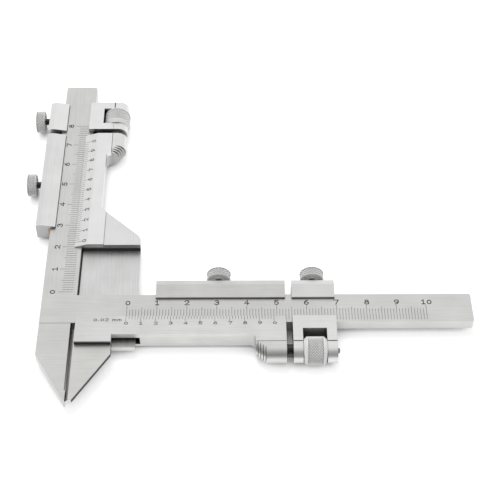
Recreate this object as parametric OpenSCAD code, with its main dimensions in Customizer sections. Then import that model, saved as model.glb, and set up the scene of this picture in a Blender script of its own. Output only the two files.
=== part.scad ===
// Gear tooth caliper: an L shaped frame with a fixed jaw, a thickness slider that carries the
// movable jaw, and a height slider that carries the blade which rests on the tooth tip.
// Each slider has a vernier plate, a gib with a lock screw and a fine feed carriage.
// The tool lies on its back: X runs along the thickness beam, Y along the height beam.

/* [Frame] */
// Width of both graduated beams
beam_w = 11.6; // [10.8:0.1:13]
// Thickness of the frame
beam_t = 3.8; // [3.6:0.1:4.6]
// Zero line to free end of the thickness beam
thickness_beam_l = 115.4; // [114:0.2:125]
// Zero line to free end of the height beam
height_beam_l = 101.5; // [100:0.5:115]
// Inner edge of the height beam to the zero line of the thickness scale
root_l = 17.15; // [16.5:0.05:18]
// Upper edge of the thickness beam to the zero line of the height scale
corner_drop = 1.45; // [1:0.05:2.5]
// Rounding of the free corners of the beams
beam_corner_r = 0.8; // [0.3:0.1:1.5]

/* [Jaws] */
// Zero line of the height scale to the jaw tips
tip_drop = 43.6; // [42:0.1:48]
// Inner edge of the height beam to the plane in which the jaws meet
jaw_offset = 0.7; // [0.6:0.05:0.9]
// Length of the ground contact face at each tip
contact_l = 3.6; // [2:0.1:6]
// Depth to which the fixed jaw is relieved above its contact face
relief_d = 0.45; // [0.2:0.05:0.8]
// Length of the upright outer edge of each jaw below the thickness beam
jaw_shoulder_l = 12.8; // [10:0.1:15]
// Width of the fixed jaw at its tip
fixed_tip_w = 0.5; // [0.3:0.1:1.5]
// Width of the movable jaw
movable_w = 13.4; // [12:0.1:14]
// Width of the movable jaw at its tip
movable_tip_w = 2.1; // [1.5:0.1:4]
// Size of the bevel along the edge of the movable jaw
jaw_bevel = 1.05; // [0.4:0.05:1.2]
// Depth by which the ground face of the fixed jaw lies below the frame
ground_step = 0.1; // [0.05:0.05:0.2]
// Set-back of the thickness slider's upper part behind the jaw plane
start_inset = 1.35; // [1.2:0.05:1.6]
// Length of the movable jaw's root above its free edge
jaw_neck_l = 2.9; // [2.4:0.1:3.6]

/* [Blade] */
// Width of the height blade
blade_w = 20.4; // [18:0.1:22]
// Thickness of the height blade
blade_t = 1.8; // [1.4:0.1:2]
// Depth of the front of the blade below the face of the frame
blade_depth = 1.8; // [1.6:0.05:2]
// Height reading at which the blade stands
height_reading = 21.7; // [18:0.1:28]

/* [Sliders] */
// Height of the front faces above the frame
front_h = 1.7; // [1.4:0.1:2.2]
// Thickness of the back plate
back_t = 1.05; // [0.9:0.05:1.6]
// Reach of the guide rail past the edge of the beam
rail_w = 5.1; // [4.6:0.1:6]
// Lap of the guide rail over the face of the beam
rail_lap = 1.7; // [1.5:0.1:2.8]
// Height of the guide rail's inner edge above the frame
rail_lip_h = 0.8; // [0.5:0.05:1.3]
// Width of the shallow bevel along the rail
rail_bevel_w = 1.9; // [1:0.1:2.4]
// Drop of the shallow bevel along the rail
rail_bevel_h = 0.45; // [0.2:0.05:0.8]
// Vernier zero to the end of the slider that faces the carriage
slider_end_l = 52.9; // [52:0.1:55]
// Start of the height slider, back from its vernier zero
height_start_l = 2; // [1.5:0.1:3]
// Vernier zero to the start of the thickness guide rail
thickness_rail_start = 9.5; // [8:0.1:14]
// Vernier zero to the start of the height guide rail
height_rail_start = 6.9; // [5:0.1:12]
// Width of the thickness slider's wall beside the beam
thickness_wall_w = 6; // [5.6:0.1:7]
// Width of the height slider's wall beside the beam
height_wall_w = 5.9; // [5.2:0.1:6.5]
// Reach of the thickness slider's nose past the beam
thickness_nose_w = 14.8; // [14:0.1:16]
// Reach of the height slider's nose past the beam
height_nose_w = 12.8; // [12.6:0.1:14]
// Thickness of the web that bridges the slot for the blade
web_t = 0.45; // [0.3:0.05:0.8]
// Room in that slot beside the blade
slot_room = 1.5; // [1:0.1:2.5]
// Length of the thumb rest
thumb_l = 10.1; // [9:0.1:12]
// Length of one grip step on the thumb rest
grip_step_l = 0.85; // [0.6:0.05:1.1]
// Width of one grip step on the thumb rest
grip_step_w = 0.65; // [0.4:0.05:0.8]
// Radius of the corner between wall and thumb rest
thumb_fillet_r = 1.8; // [1:0.1:2.2]

/* [Vernier plates] */
// Lap of the vernier plates over the face of the beam
plate_lap = 2.45; // [1.8:0.1:3]
// Width of the bevel that leads down to the scale
plate_bevel_w = 4.6; // [3.6:0.1:5]
// Thickness of the reading edge
plate_edge_t = 0.2; // [0.1:0.05:0.4]
// Share of the nose that lies outside the seam of the front plate
nose_strip_share = 0.4; // [0.38:0.01:0.43]

/* [Wing] */
// Height of the wing above the face of the frame
wing_h = 1.3; // [0.6:0.1:1.5]
// Length of the wing along the height beam
wing_l = 17.2; // [15:0.1:20]
// Length of the wing's upright outer edge
wing_edge_l = 2.6; // [2:0.1:5]
// Size of the broken corner at the end of the wing
wing_corner = 1.6; // [0.6:0.1:2]

/* [Carriages] */
// Length of the fine feed carriages
carriage_l = 14.4; // [14:0.1:17]
// Gap between a slider and its carriage
carriage_gap = 2.2; // [1.8:0.1:3]
// Length of the leg next to the slider
near_leg_l = 3.2; // [2.6:0.1:3.6]
// Length of the window for the feed nut
window_l = 7.9; // [7.6:0.1:8.4]
// Strip left between the beam and the window
window_strip_w = 3.75; // [3.2:0.05:3.9]
// Lap of the carriage plate over the face of the beam
carriage_lap = 1.45; // [1.2:0.05:2.2]

/* [Feed and lock screws] */
// Diameter of the knurled feed nuts
nut_d = 9.6; // [9:0.1:10]
// Play of the feed nut in its window, both ends together
nut_play = 0.25; // [0.1:0.05:0.4]
// Chamfer of the feed nut
nut_chamfer = 0.6; // [0.3:0.05:0.9]
// Axis of the feed screw to the outer edge of the nose
feed_inset = 4.1; // [3.7:0.1:4.3]
// Diameter of the feed screw
feed_d = 4.6; // [4:0.1:4.8]
// Diameter of the pilot at the end of the feed screw
pilot_d = 1.8; // [1.4:0.1:2.4]
// Length of pilot that stands out of the carriage
pilot_out_l = 0.8; // [0.4:0.1:1.2]
// Length of feed screw held in the slider
feed_root_l = 6; // [4:0.1:8]
// Travel of the fine feed either way
feed_travel = 1.5; // [1:0.1:1.6]
// Diameter of the knurled head of a lock screw
knob_d = 8.2; // [7.4:0.1:9]
// Length of the knurled head of a lock screw
knob_l = 3.2; // [2.8:0.1:4.4]
// Chamfer of the lock screw head
knob_chamfer = 0.3; // [0.15:0.05:0.6]
// Length of neck that shows between rail and head
neck_l = 2; // [1.2:0.1:2.6]
// Diameter of the lock screw's thread
lock_d = 2.6; // [2:0.1:3]
// Place of the lock screw along its guide rail
lock_share = 0.485; // [0.3:0.005:0.7]

/* [Gibs and small screws] */
// Thickness of the bronze gibs
gib_t = 0.9; // [0.6:0.05:1.2]
// Diameter of the small plate screws
plate_screw_d = 1.6; // [1.4:0.1:1.8]
// Diameter of their countersunk heads
plate_head_d = 2.8; // [2.6:0.1:3]
// Depth to which the small screws enter the front pieces
plate_screw_grip = 1; // [0.6:0.1:1.2]
// Width of a screwdriver slot
slot_w = 0.4; // [0.3:0.05:0.5]
// Depth of a screwdriver slot
slot_d = 0.4; // [0.25:0.05:0.5]

/* [Fits] */
// Running clearance of sliders, screws and nuts
slide_fit = 0.05; // [0.02:0.01:0.08]
// Clearance of the seams beside the front plates
seam_fit = 0.08; // [0.05:0.01:0.15]
// Gap left between the closed jaws
jaw_fit = 0.02; // [0.01:0.01:0.05]
// Clearance of the blade to what it passes
blade_fit = 0.25; // [0.15:0.05:0.3]

/* [Hidden] */
$fn = 96;
// Overrun of every cut
cut = 1;
grip_steps = 4;

// Levels, measured from the face of the frame
back_z = -beam_t;
plate_back_z = back_z - slide_fit;
slider_back_z = plate_back_z - back_t;
body_h = front_h - slider_back_z;
nose_r = body_h / 2;
axis_z = front_h - nose_r;
blade_top_z = -blade_depth;
blade_roof_z = blade_top_z + slide_fit;
blade_floor_z = blade_top_z - blade_t;
web_z = slide_fit - web_t;

// Screw places, as shares of a wall's length, of a carriage's length, and of the wing's size
wall_screw_shares = [0.06, 0.5, 0.94];
carriage_screw_shares = [0.13, 0.87];
blade_screw_shares = [[0.2, 0.5], [0.2, 0.85], [0.48, 0.5]];

// Places on the frame
height_edge_x = -root_l;
height_outer_x = height_edge_x - beam_w;
thickness_top_y = -corner_drop;
thickness_low_y = thickness_top_y - beam_w;
jaw_x = height_edge_x - jaw_offset;
tip_y = -tip_drop;
shoulder_y = thickness_low_y - jaw_shoulder_l;

// Places across a slider, from the outer edge of its beam and positive towards the rail
wall_y = -beam_w - slide_fit;
gib_seat_y = gib_t + slide_fit;
rail_out_y = rail_w;

// Places along a carriage, from the vernier zero of its slider
carriage_start = slider_end_l + carriage_gap;
window_start = carriage_start + near_leg_l;
window_end = window_start + window_l;
carriage_end = carriage_start + carriage_l;
lock_at_carriage = carriage_start + carriage_l / 2;
nut_l = window_l - nut_play;
nut_start = window_start + nut_play / 2;
thread_end = window_end - feed_travel - nut_play;
pilot_end = carriage_end + pilot_out_l;
thumb_start = slider_end_l - thumb_l;

// The blade, the wing that reaches past it, the slot that it passes, and the movable jaw
blade_left_x = height_edge_x + slide_fit;
blade_right_x = blade_left_x + blade_w;
wing_w = blade_w + 2 * slide_fit;
slot_end_x = blade_right_x + slot_room;
movable_x = jaw_x + jaw_fit;
movable_right_x = movable_x + movable_w;
// Start of the thickness slider, back from its vernier zero
thickness_start_l = root_l + jaw_offset - start_inset;

// Origin of the part: the middle of its outline on the surface that it lies on
left_x = height_outer_x - rail_w - neck_l - knob_l;
mid_x = (left_x + thickness_beam_l) / 2;
mid_y = (height_beam_l - tip_drop) / 2;
low_z = axis_z - nut_d / 2;

// Moves the drawing of the whole tool to its origin
module at_origin() {
    translate([-mid_x, -mid_y, -low_z]) children();
}

// Frame of the thickness slider: X from the vernier zero, Y up from the beam's upper edge
module on_thickness_beam() {
    at_origin() translate([0, thickness_top_y, 0]) children();
}

// Frame of the height slider: the same, turned a quarter and set at its reading
module on_height_beam() {
    at_origin() translate([height_outer_x, height_reading, 0]) rotate(90) children();
}

// Extrudes a profile drawn across and up along a slider, from one place to another
module along(from, to) {
    translate([from, 0, 0]) rotate([90, 0, 90]) linear_extrude(to - from) children();
}

// Cylinder along a slider at the level of the feed screw
module feed_rod(from, to, r, y) {
    translate([from, y, axis_z]) rotate([0, 90, 0]) cylinder(r = r, h = to - from);
}

// Place of the lock screw along a slider
function lock_x(rail_start) = rail_start + lock_share * (slider_end_l - rail_start);

// Axis of the feed screw, across the slider
function feed_y(nose_w) = -beam_w - nose_w + feed_inset;

// Seam between a front plate and the nose
function seam_y(nose_w) = -beam_w - nose_w * (1 - nose_strip_share);

// Slider section: guide rail with gib seat, back plate and wall
module channel_profile(wall_w) {
    polygon([
        [-rail_lap, slide_fit],
        [-rail_lap, rail_lip_h],
        [rail_out_y - rail_bevel_w, front_h],
        [rail_out_y, front_h - rail_bevel_h],
        [rail_out_y, slider_back_z],
        [-beam_w - wall_w, slider_back_z],
        [-beam_w - wall_w, slide_fit],
        [wall_y, slide_fit],
        [wall_y, plate_back_z],
        [gib_seat_y, plate_back_z],
        [gib_seat_y, slide_fit]
    ]);
}

// Rounded nose with a seat for the front plate
module nose_profile(nose_w, reach) {
    seam = seam_y(nose_w) - seam_fit;
    round_y = -beam_w - reach + nose_r;
    difference() {
        union() {
            translate([round_y, axis_z]) circle(nose_r);
            translate([round_y, slider_back_z]) square([wall_y - round_y, body_h]);
        }
        translate([seam, slide_fit]) square([-seam, body_h]);
    }
}

// Thumb rest with grip steps that widen to the full nose
module thumb_rest(nose_w) {
    for (i = [0 : grip_steps - 1])
        along(thumb_start + i * grip_step_l, thumb_start + (i + 1) * grip_step_l)
            nose_profile(nose_w, nose_w - (grip_steps - i) * grip_step_w);
    along(thumb_start + grip_steps * grip_step_l, slider_end_l) nose_profile(nose_w, nose_w);
}

// Hollow corner between a wall and the thumb rest
module thumb_fillet(wall_w, from_z, to_z) {
    translate([thumb_start - thumb_fillet_r, -beam_w - wall_w - thumb_fillet_r, from_z])
        linear_extrude(to_z - from_z) difference() {
            square(thumb_fillet_r);
            circle(thumb_fillet_r);
        }
}

// Threaded hole for a lock screw through the rail
module lock_hole(at) {
    translate([at, gib_seat_y - cut / 2, axis_z]) rotate([-90, 0, 0])
        cylinder(d = lock_d + 2 * slide_fit, h = rail_w + cut);
}

// Countersunk hole from the back, reaching up to a given level
module screw_hole(x, y, from_z, to_z) {
    head_h = (plate_head_d - plate_screw_d) / 2;
    translate([x, y, from_z]) {
        translate([0, 0, -cut]) cylinder(d = plate_head_d + 2 * slide_fit, h = cut);
        cylinder(d1 = plate_head_d + 2 * slide_fit, d2 = plate_screw_d + 2 * slide_fit, h = head_h);
        cylinder(d = plate_screw_d + 2 * slide_fit, h = to_z - from_z);
    }
}

// Small slotted screw with its head at the back
module small_screw(x, y, from_z, to_z) {
    head_h = (plate_head_d - plate_screw_d) / 2;
    translate([x, y, from_z]) difference() {
        union() {
            cylinder(d1 = plate_head_d, d2 = plate_screw_d, h = head_h);
            cylinder(d = plate_screw_d, h = to_z - from_z);
        }
        translate([-plate_head_d, -slot_w / 2, -cut]) cube([2 * plate_head_d, slot_w, cut + slot_d]);
    }
}

// Places of the small screws along a wall that starts at a given place
function wall_screw_places(from) = [
    for (share = wall_screw_shares) from + share * (thumb_start - from)
];

// Vernier plate: bevelled strip with a wider lug over the thumb rest
module plate_strip(start, wall_w, nose_w) {
    low_y = -beam_w - wall_w;
    along(-start, slider_end_l) polygon([
        [-beam_w + plate_lap, slide_fit],
        [-beam_w + plate_lap, slide_fit + plate_edge_t],
        [-beam_w + plate_lap - plate_bevel_w, front_h],
        [low_y, front_h],
        [low_y, slide_fit]
    ]);
    translate([thumb_start, seam_y(nose_w), slide_fit])
        cube([thumb_l, low_y - seam_y(nose_w), front_h - slide_fit]);
    thumb_fillet(wall_w, slide_fit, front_h);
}

// Holes for the screws that hold a front plate
module wall_screw_holes(places, wall_w) {
    for (x = places)
        screw_hole(x, -beam_w - wall_w / 2, slider_back_z, slide_fit + plate_screw_grip);
}

// Small screws that hold a front plate on its wall
module wall_screws(places, wall_w) {
    for (x = places)
        small_screw(x, -beam_w - wall_w / 2, slider_back_z, slide_fit + plate_screw_grip - seam_fit);
}

// Screw places of each plate
thickness_screws = wall_screw_places(slot_end_x + plate_head_d);
height_screws = wall_screw_places(wing_l);
carriage_screws = [for (share = carriage_screw_shares) carriage_start + share * carriage_l];

// Bore in which the root of the feed screw is held
module feed_seat(nose_w) {
    feed_rod(slider_end_l - feed_root_l, slider_end_l + cut, feed_d / 2 + slide_fit, feed_y(nose_w));
}

// Part of a slider that both sliders share: channel, thumb rest and holes
module slider_core(rail_start, wall_w, nose_w) {
    difference() {
        union() {
            along(rail_start, slider_end_l) channel_profile(wall_w);
            thumb_rest(nose_w);
            thumb_fillet(wall_w, slider_back_z, slide_fit);
        }
        feed_seat(nose_w);
        lock_hole(lock_x(rail_start));
    }
}

// Gib strip between a rail and the edge of its beam
module gib(from, to) {
    translate([from, slide_fit, back_z]) cube([to - from, gib_t, beam_t]);
}

// Lock screw: neck, knurled head with a ringed face, and a tip that presses on the gib
module lock_screw(at) {
    ring_d = (knob_d + lock_d) / 2;
    translate([at, 0, axis_z]) rotate([-90, 0, 0]) difference() {
        union() {
            translate([0, 0, gib_seat_y])
                cylinder(d = lock_d, h = rail_w + neck_l + cut - gib_seat_y);
            translate([0, 0, rail_w + neck_l]) knurled(knob_d, knob_l, knob_chamfer);
        }
        translate([0, 0, rail_w + neck_l - cut]) difference() {
            cylinder(d = ring_d + knob_chamfer, h = cut + knob_chamfer / 2);
            translate([0, 0, -cut]) cylinder(d = ring_d - knob_chamfer, h = 3 * cut);
        }
    }
}

// Knurled drum with chamfered rims
module knurled(d, l, c) {
    rotate_extrude() polygon([
        [0, 0], [d / 2 - c, 0], [d / 2, c], [d / 2, l - c], [d / 2 - c, l], [0, l]
    ]);
}

// Feed screw fixed in the slider, with a pilot that guides the carriage
module feed_screw(nose_w) {
    feed_rod(slider_end_l - feed_root_l, thread_end, feed_d / 2, feed_y(nose_w));
    feed_rod(thread_end, pilot_end, pilot_d / 2, feed_y(nose_w));
}

// Feed nut, held in the window of the carriage
module feed_nut(nose_w) {
    difference() {
        translate([nut_start, feed_y(nose_w), axis_z]) rotate([0, 90, 0])
            knurled(nut_d, nut_l, nut_chamfer);
        feed_rod(window_start - cut, window_end + cut, feed_d / 2 + slide_fit, feed_y(nose_w));
    }
}

// Window for the feed nut, through the whole carriage
module nut_window(nose_w) {
    translate([window_start, -beam_w - nose_w - cut, slider_back_z - cut])
        cube([window_l, nose_w - window_strip_w + cut, body_h + 2 * cut]);
}

// Carriage: channel, nose, nut window and bores for the feed screw
module carriage(wall_w, nose_w) {
    difference() {
        union() {
            along(carriage_start, carriage_end) channel_profile(wall_w);
            along(carriage_start, carriage_end) nose_profile(nose_w, nose_w);
        }
        nut_window(nose_w);
        feed_rod(carriage_start - cut, window_start + cut, feed_d / 2 + slide_fit, feed_y(nose_w));
        feed_rod(window_end - cut, carriage_end + cut, pilot_d / 2 + slide_fit, feed_y(nose_w));
        lock_hole(lock_at_carriage);
        for (x = carriage_screws)
            screw_hole(x, -beam_w - window_strip_w / 2, slider_back_z, slide_fit + cut);
    }
}

// Front plate of a carriage, cut out for the nut
module carriage_plate(nose_w) {
    difference() {
        translate([carriage_start, seam_y(nose_w), slide_fit])
            cube([carriage_l, -beam_w + carriage_lap - seam_y(nose_w), front_h - slide_fit]);
        nut_window(nose_w);
        feed_rod(carriage_start - cut, carriage_end + cut, feed_d / 2 + slide_fit, feed_y(nose_w));
        for (x = carriage_screws)
            screw_hole(x, -beam_w - window_strip_w / 2, slider_back_z, slide_fit + plate_screw_grip);
    }
}

// Small screws that hold a front plate on its carriage
module carriage_plate_screws() {
    for (x = carriage_screws)
        small_screw(x, -beam_w - window_strip_w / 2, slider_back_z,
                    slide_fit + plate_screw_grip - seam_fit);
}

// Outline of the fixed jaw below the thickness beam
module fixed_jaw_outline() {
    polygon([
        [height_outer_x, thickness_low_y],
        [height_outer_x, shoulder_y],
        [jaw_x - fixed_tip_w, tip_y],
        [jaw_x, tip_y],
        [jaw_x, tip_y + contact_l],
        [jaw_x - relief_d, tip_y + contact_l + relief_d],
        [jaw_x - relief_d, thickness_low_y]
    ]);
}

// Beam with rounded free corners, drawn along X from a root
module beam_outline(from, to, y) {
    translate([from, y]) square([to - from - beam_corner_r, beam_w]);
    translate([to - 2 * beam_corner_r, y + beam_corner_r])
        square([2 * beam_corner_r, beam_w - 2 * beam_corner_r]);
    for (side = [beam_corner_r, beam_w - beam_corner_r])
        translate([to - beam_corner_r, y + side]) circle(beam_corner_r);
}

module main_frame() {
    color([0.78, 0.78, 0.78]) at_origin() difference() {
        union() {
            translate([0, 0, back_z]) linear_extrude(beam_t) {
                beam_outline(height_outer_x, thickness_beam_l, thickness_low_y);
                rotate(90) beam_outline(thickness_low_y, height_beam_l, -height_edge_x);
            }
            translate([0, 0, back_z]) linear_extrude(beam_t - ground_step) fixed_jaw_outline();
        }
        // Passage for the blade behind the root of the thickness beam
        translate([height_edge_x, thickness_low_y - cut, back_z - cut])
            cube([blade_w + slide_fit + blade_fit, beam_w + 2 * cut, cut + blade_roof_z - back_z]);
    }
}

// Movable jaw: bevelled on its measuring edge, thin enough to clear the blade behind it
module movable_jaw() {
    root_y = -beam_w - slide_fit;
    drop_y = shoulder_y - thickness_top_y;
    end_y = tip_y - thickness_top_y;
    step_y = root_y - jaw_neck_l;
    difference() {
        translate([0, 0, blade_roof_z]) linear_extrude(slide_fit - blade_roof_z) polygon([
            [-thickness_start_l, root_y],
            [-thickness_start_l, step_y],
            [movable_x, step_y],
            [movable_x, end_y],
            [movable_x + movable_tip_w, end_y],
            [movable_right_x, drop_y],
            [movable_right_x, root_y]
        ]);
        translate([0, step_y + cut, 0]) rotate([90, 0, 0])
            linear_extrude(tip_drop) polygon([
                [movable_x - cut, slide_fit - jaw_bevel - cut],
                [movable_x + jaw_bevel + cut, slide_fit + cut],
                [movable_x - cut, slide_fit + cut]
            ]);
    }
}

module thickness_slider() {
    wall_low_y = -beam_w - thickness_wall_w;
    color([0.76, 0.76, 0.76]) on_thickness_beam() difference() {
        union() {
            slider_core(thickness_rail_start, thickness_wall_w, thickness_nose_w);
            // Wall up to the slot for the blade
            translate([slot_end_x, wall_low_y, slider_back_z])
                cube([thumb_start - slot_end_x, wall_y - wall_low_y, slide_fit - slider_back_z]);
            // Back plate behind the blade
            translate([-thickness_start_l, wall_low_y, slider_back_z])
                cube([thickness_start_l + thickness_rail_start,
                      -wall_low_y - 2 * blade_fit, back_t]);
            // Web above the slot, from the wall to the jaw
            translate([movable_right_x - cut, wall_low_y, web_z])
                cube([slot_end_x - movable_right_x + 2 * cut, wall_y - wall_low_y,
                      slide_fit - web_z]);
            movable_jaw();
        }
        wall_screw_holes(thickness_screws, thickness_wall_w);
    }
}

module thickness_vernier_plate() {
    lug_y = seam_y(thickness_nose_w);
    color([0.8, 0.8, 0.8]) on_thickness_beam() difference() {
        union() {
            plate_strip(thickness_start_l, thickness_wall_w, thickness_nose_w);
            // Lug over the root of the movable jaw
            translate([-thickness_start_l, lug_y, slide_fit])
                cube([thickness_start_l + movable_right_x,
                      -beam_w - thickness_wall_w - lug_y, front_h - slide_fit]);
        }
        feed_seat(thickness_nose_w);
        wall_screw_holes(thickness_screws, thickness_wall_w);
    }
}

// Outline of the wing that carries the blade, in the frame of the height slider
module wing_outline(inset) {
    out_y = -beam_w - wing_w + inset;
    top_x = wing_l - height_start_l - inset;
    polygon([
        [-height_start_l, wall_y],
        [-height_start_l, out_y],
        [wing_edge_l - height_start_l, out_y],
        [wing_edge_l - height_start_l + wing_corner, out_y + wing_corner / 2],
        [top_x, -beam_w - height_wall_w],
        [top_x, wall_y]
    ]);
}

module height_slider() {
    wall_low_y = -beam_w - height_wall_w;
    seam = seam_y(height_nose_w);
    top_x = wing_l - height_start_l;
    color([0.76, 0.76, 0.76]) on_height_beam() difference() {
        union() {
            slider_core(height_rail_start, height_wall_w, height_nose_w);
            // Back plate below the rail
            translate([-height_start_l, wall_low_y, slider_back_z])
                cube([height_start_l + height_rail_start, -wall_low_y, back_t]);
            // Wing: low under the vernier plate, raised outside its seam
            translate([0, 0, blade_top_z]) linear_extrude(slide_fit - blade_top_z)
                wing_outline(0);
            translate([0, 0, blade_top_z]) linear_extrude(wing_h - blade_top_z)
                intersection() {
                    wing_outline(0);
                    translate([-height_start_l, -beam_w - wing_w])
                        square([wing_l, wing_w + beam_w + seam - seam_fit]);
                }
        }
        // Passage for the blade under the wall
        translate([-height_start_l - cut, wall_low_y - cut, blade_floor_z - blade_fit])
            cube([wing_l + cut, height_wall_w - slide_fit + cut + cut,
                  blade_t + blade_fit]);
        wall_screw_holes(height_screws, height_wall_w);
        blade_screw_holes(blade_top_z, wing_h - plate_edge_t);
    }
}

module height_vernier_plate() {
    seam = seam_y(height_nose_w);
    color([0.8, 0.8, 0.8]) on_height_beam() difference() {
        union() {
            plate_strip(height_start_l, height_wall_w, height_nose_w);
            // Lug over the root of the wing
            translate([0, 0, slide_fit]) linear_extrude(front_h - slide_fit) intersection() {
                wing_outline(0);
                translate([-height_start_l, seam]) square([wing_l, -beam_w - plate_lap - seam]);
            }
        }
        feed_seat(height_nose_w);
        wall_screw_holes(height_screws, height_wall_w);
    }
}

// Threaded holes in the wing for the screws of the blade
module blade_screw_holes(from_z, to_z) {
    for (share = blade_screw_shares)
        translate([share[0] * wing_l - height_start_l, -beam_w - share[1] * wing_w, from_z - cut])
            cylinder(d = plate_screw_d + 2 * slide_fit, h = to_z - from_z + cut);
}

module height_blade() {
    color([0.74, 0.74, 0.75]) on_height_beam() difference() {
        translate([0, 0, blade_floor_z]) linear_extrude(blade_t) {
            intersection() {
                wing_outline(blade_fit);
                translate([-height_start_l, -beam_w - slide_fit - blade_w])
                    square([wing_l, blade_w]);
            }
            translate([-tip_drop, -beam_w - slide_fit - blade_w])
                square([tip_drop - height_start_l, blade_w]);
        }
        for (share = blade_screw_shares)
            screw_hole(share[0] * wing_l - height_start_l, -beam_w - share[1] * wing_w,
                       blade_floor_z, blade_top_z + cut);
    }
}

module blade_screws() {
    color([0.45, 0.45, 0.47]) on_height_beam() for (share = blade_screw_shares)
        small_screw(share[0] * wing_l - height_start_l, -beam_w - share[1] * wing_w,
                    blade_floor_z, wing_h - plate_edge_t - seam_fit);
}

module thickness_gib() {
    color([0.62, 0.44, 0.28]) on_thickness_beam() gib(thickness_rail_start, slider_end_l);
}

module thickness_carriage_gib() {
    color([0.62, 0.44, 0.28]) on_thickness_beam() gib(carriage_start, carriage_end);
}

module thickness_lock_screw() {
    color([0.6, 0.6, 0.6]) on_thickness_beam()
        lock_screw(lock_x(thickness_rail_start));
}

module thickness_clamp_screw() {
    color([0.6, 0.6, 0.6]) on_thickness_beam() lock_screw(lock_at_carriage);
}

module thickness_feed_screw() {
    color([0.2, 0.2, 0.2]) on_thickness_beam() feed_screw(thickness_nose_w);
}

module thickness_feed_nut() {
    color([0.7, 0.7, 0.7]) on_thickness_beam() feed_nut(thickness_nose_w);
}

module thickness_carriage() {
    color([0.76, 0.76, 0.76]) on_thickness_beam() carriage(thickness_wall_w, thickness_nose_w);
}

module thickness_carriage_plate() {
    color([0.8, 0.8, 0.8]) on_thickness_beam() carriage_plate(thickness_nose_w);
}

module thickness_plate_screws() {
    color([0.45, 0.45, 0.47]) on_thickness_beam() wall_screws(thickness_screws, thickness_wall_w);
}

module thickness_carriage_screws() {
    color([0.45, 0.45, 0.47]) on_thickness_beam() carriage_plate_screws();
}

module height_gib() {
    color([0.62, 0.44, 0.28]) on_height_beam() gib(height_rail_start, slider_end_l);
}

module height_carriage_gib() {
    color([0.62, 0.44, 0.28]) on_height_beam() gib(carriage_start, carriage_end);
}

module height_lock_screw() {
    color([0.6, 0.6, 0.6]) on_height_beam() lock_screw(lock_x(height_rail_start));
}

module height_clamp_screw() {
    color([0.6, 0.6, 0.6]) on_height_beam() lock_screw(lock_at_carriage);
}

module height_feed_screw() {
    color([0.2, 0.2, 0.2]) on_height_beam() feed_screw(height_nose_w);
}

module height_feed_nut() {
    color([0.7, 0.7, 0.7]) on_height_beam() feed_nut(height_nose_w);
}

module height_carriage() {
    color([0.76, 0.76, 0.76]) on_height_beam() carriage(height_wall_w, height_nose_w);
}

module height_carriage_plate() {
    color([0.8, 0.8, 0.8]) on_height_beam() carriage_plate(height_nose_w);
}

module height_plate_screws() {
    color([0.45, 0.45, 0.47]) on_height_beam() wall_screws(height_screws, height_wall_w);
}

module height_carriage_screws() {
    color([0.45, 0.45, 0.47]) on_height_beam() carriage_plate_screws();
}

main_frame();
thickness_slider();
thickness_vernier_plate();
thickness_gib();
thickness_lock_screw();
thickness_feed_screw();
thickness_carriage();
thickness_carriage_plate();
thickness_carriage_gib();
thickness_clamp_screw();
thickness_feed_nut();
thickness_plate_screws();
thickness_carriage_screws();
height_slider();
height_vernier_plate();
height_gib();
height_lock_screw();
height_feed_screw();
height_carriage();
height_carriage_plate();
height_carriage_gib();
height_clamp_screw();
height_feed_nut();
height_plate_screws();
height_carriage_screws();
height_blade();
blade_screws();
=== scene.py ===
"""Looks of the gear tooth caliper: knurls, threads, graduations, finishes, light and camera.

Every length is in millimetres in the tool's own frame, which has its origin where the zero
lines of both scales meet: X along the thickness beam, Y along the height beam, Z up from the
face of the frame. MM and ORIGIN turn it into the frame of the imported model.
"""

import math

import bmesh
import bpy
from mathutils import Matrix, Vector


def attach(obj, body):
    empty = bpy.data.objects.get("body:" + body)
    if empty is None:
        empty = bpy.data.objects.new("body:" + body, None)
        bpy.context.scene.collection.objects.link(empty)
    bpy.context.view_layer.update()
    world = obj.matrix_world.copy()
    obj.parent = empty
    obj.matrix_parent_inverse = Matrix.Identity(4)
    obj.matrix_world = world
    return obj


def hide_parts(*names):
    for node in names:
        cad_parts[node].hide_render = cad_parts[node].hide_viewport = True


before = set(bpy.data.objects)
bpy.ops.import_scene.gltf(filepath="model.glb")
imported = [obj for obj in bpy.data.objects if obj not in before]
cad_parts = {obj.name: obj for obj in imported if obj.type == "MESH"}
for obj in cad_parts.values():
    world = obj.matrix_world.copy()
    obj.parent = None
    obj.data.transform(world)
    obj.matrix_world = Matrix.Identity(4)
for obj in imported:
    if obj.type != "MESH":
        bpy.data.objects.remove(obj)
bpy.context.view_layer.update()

MM = 0.001
ORIGIN = Vector((38.175, 28.95, -6.4))

# Sizes that the CAD part has too. Z is the level above the face of the beams
BEAM_W = 11.6
CORNER_DROP = 1.45
HEIGHT_OUTER_X = -28.75
READING = 21.7
FRONT_H = 1.7
RAIL_W = 5.1
RAIL_LAP = 1.7
SLIDER_END = 52.9
CARRIAGE_START = 55.1
CARRIAGE_END = 69.5
WINDOW_START = 58.3
WINDOW_END = 66.2
AXIS_Z = -1.6
PLATE_LAP = 2.45
PLATE_BEVEL_W = 4.6
PLATE_EDGE_Z = 0.25
GIB_SEAT = 0.95
LOCK_SHARE = 0.485
FEED_INSET = 4.1
SEAM_SHARE = 0.4
NOSE_R = 3.3
THUMB_START = SLIDER_END - 10.1
GRIP_STEPS = 4
GRIP_STEP_L = 0.85
GRIP_STEP_W = 0.65
BLADE_Z = -1.8
NUT_R = 4.8
NUT_PLAY = 0.25
NUT_BORE_R = 2.35
FEED_R = 2.3
FEED_ROOT = 46.9
PILOT_R = 0.9
PILOT_OUT = 0.8
FEED_SPARE = 1.75
KNOB_R = 4.1
KNOB_L = 3.2
KNOB_CHAMFER = 0.3
NECK_L = 2.0
STUD_R = 1.3
THREAD_PITCH = 0.5


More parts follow.
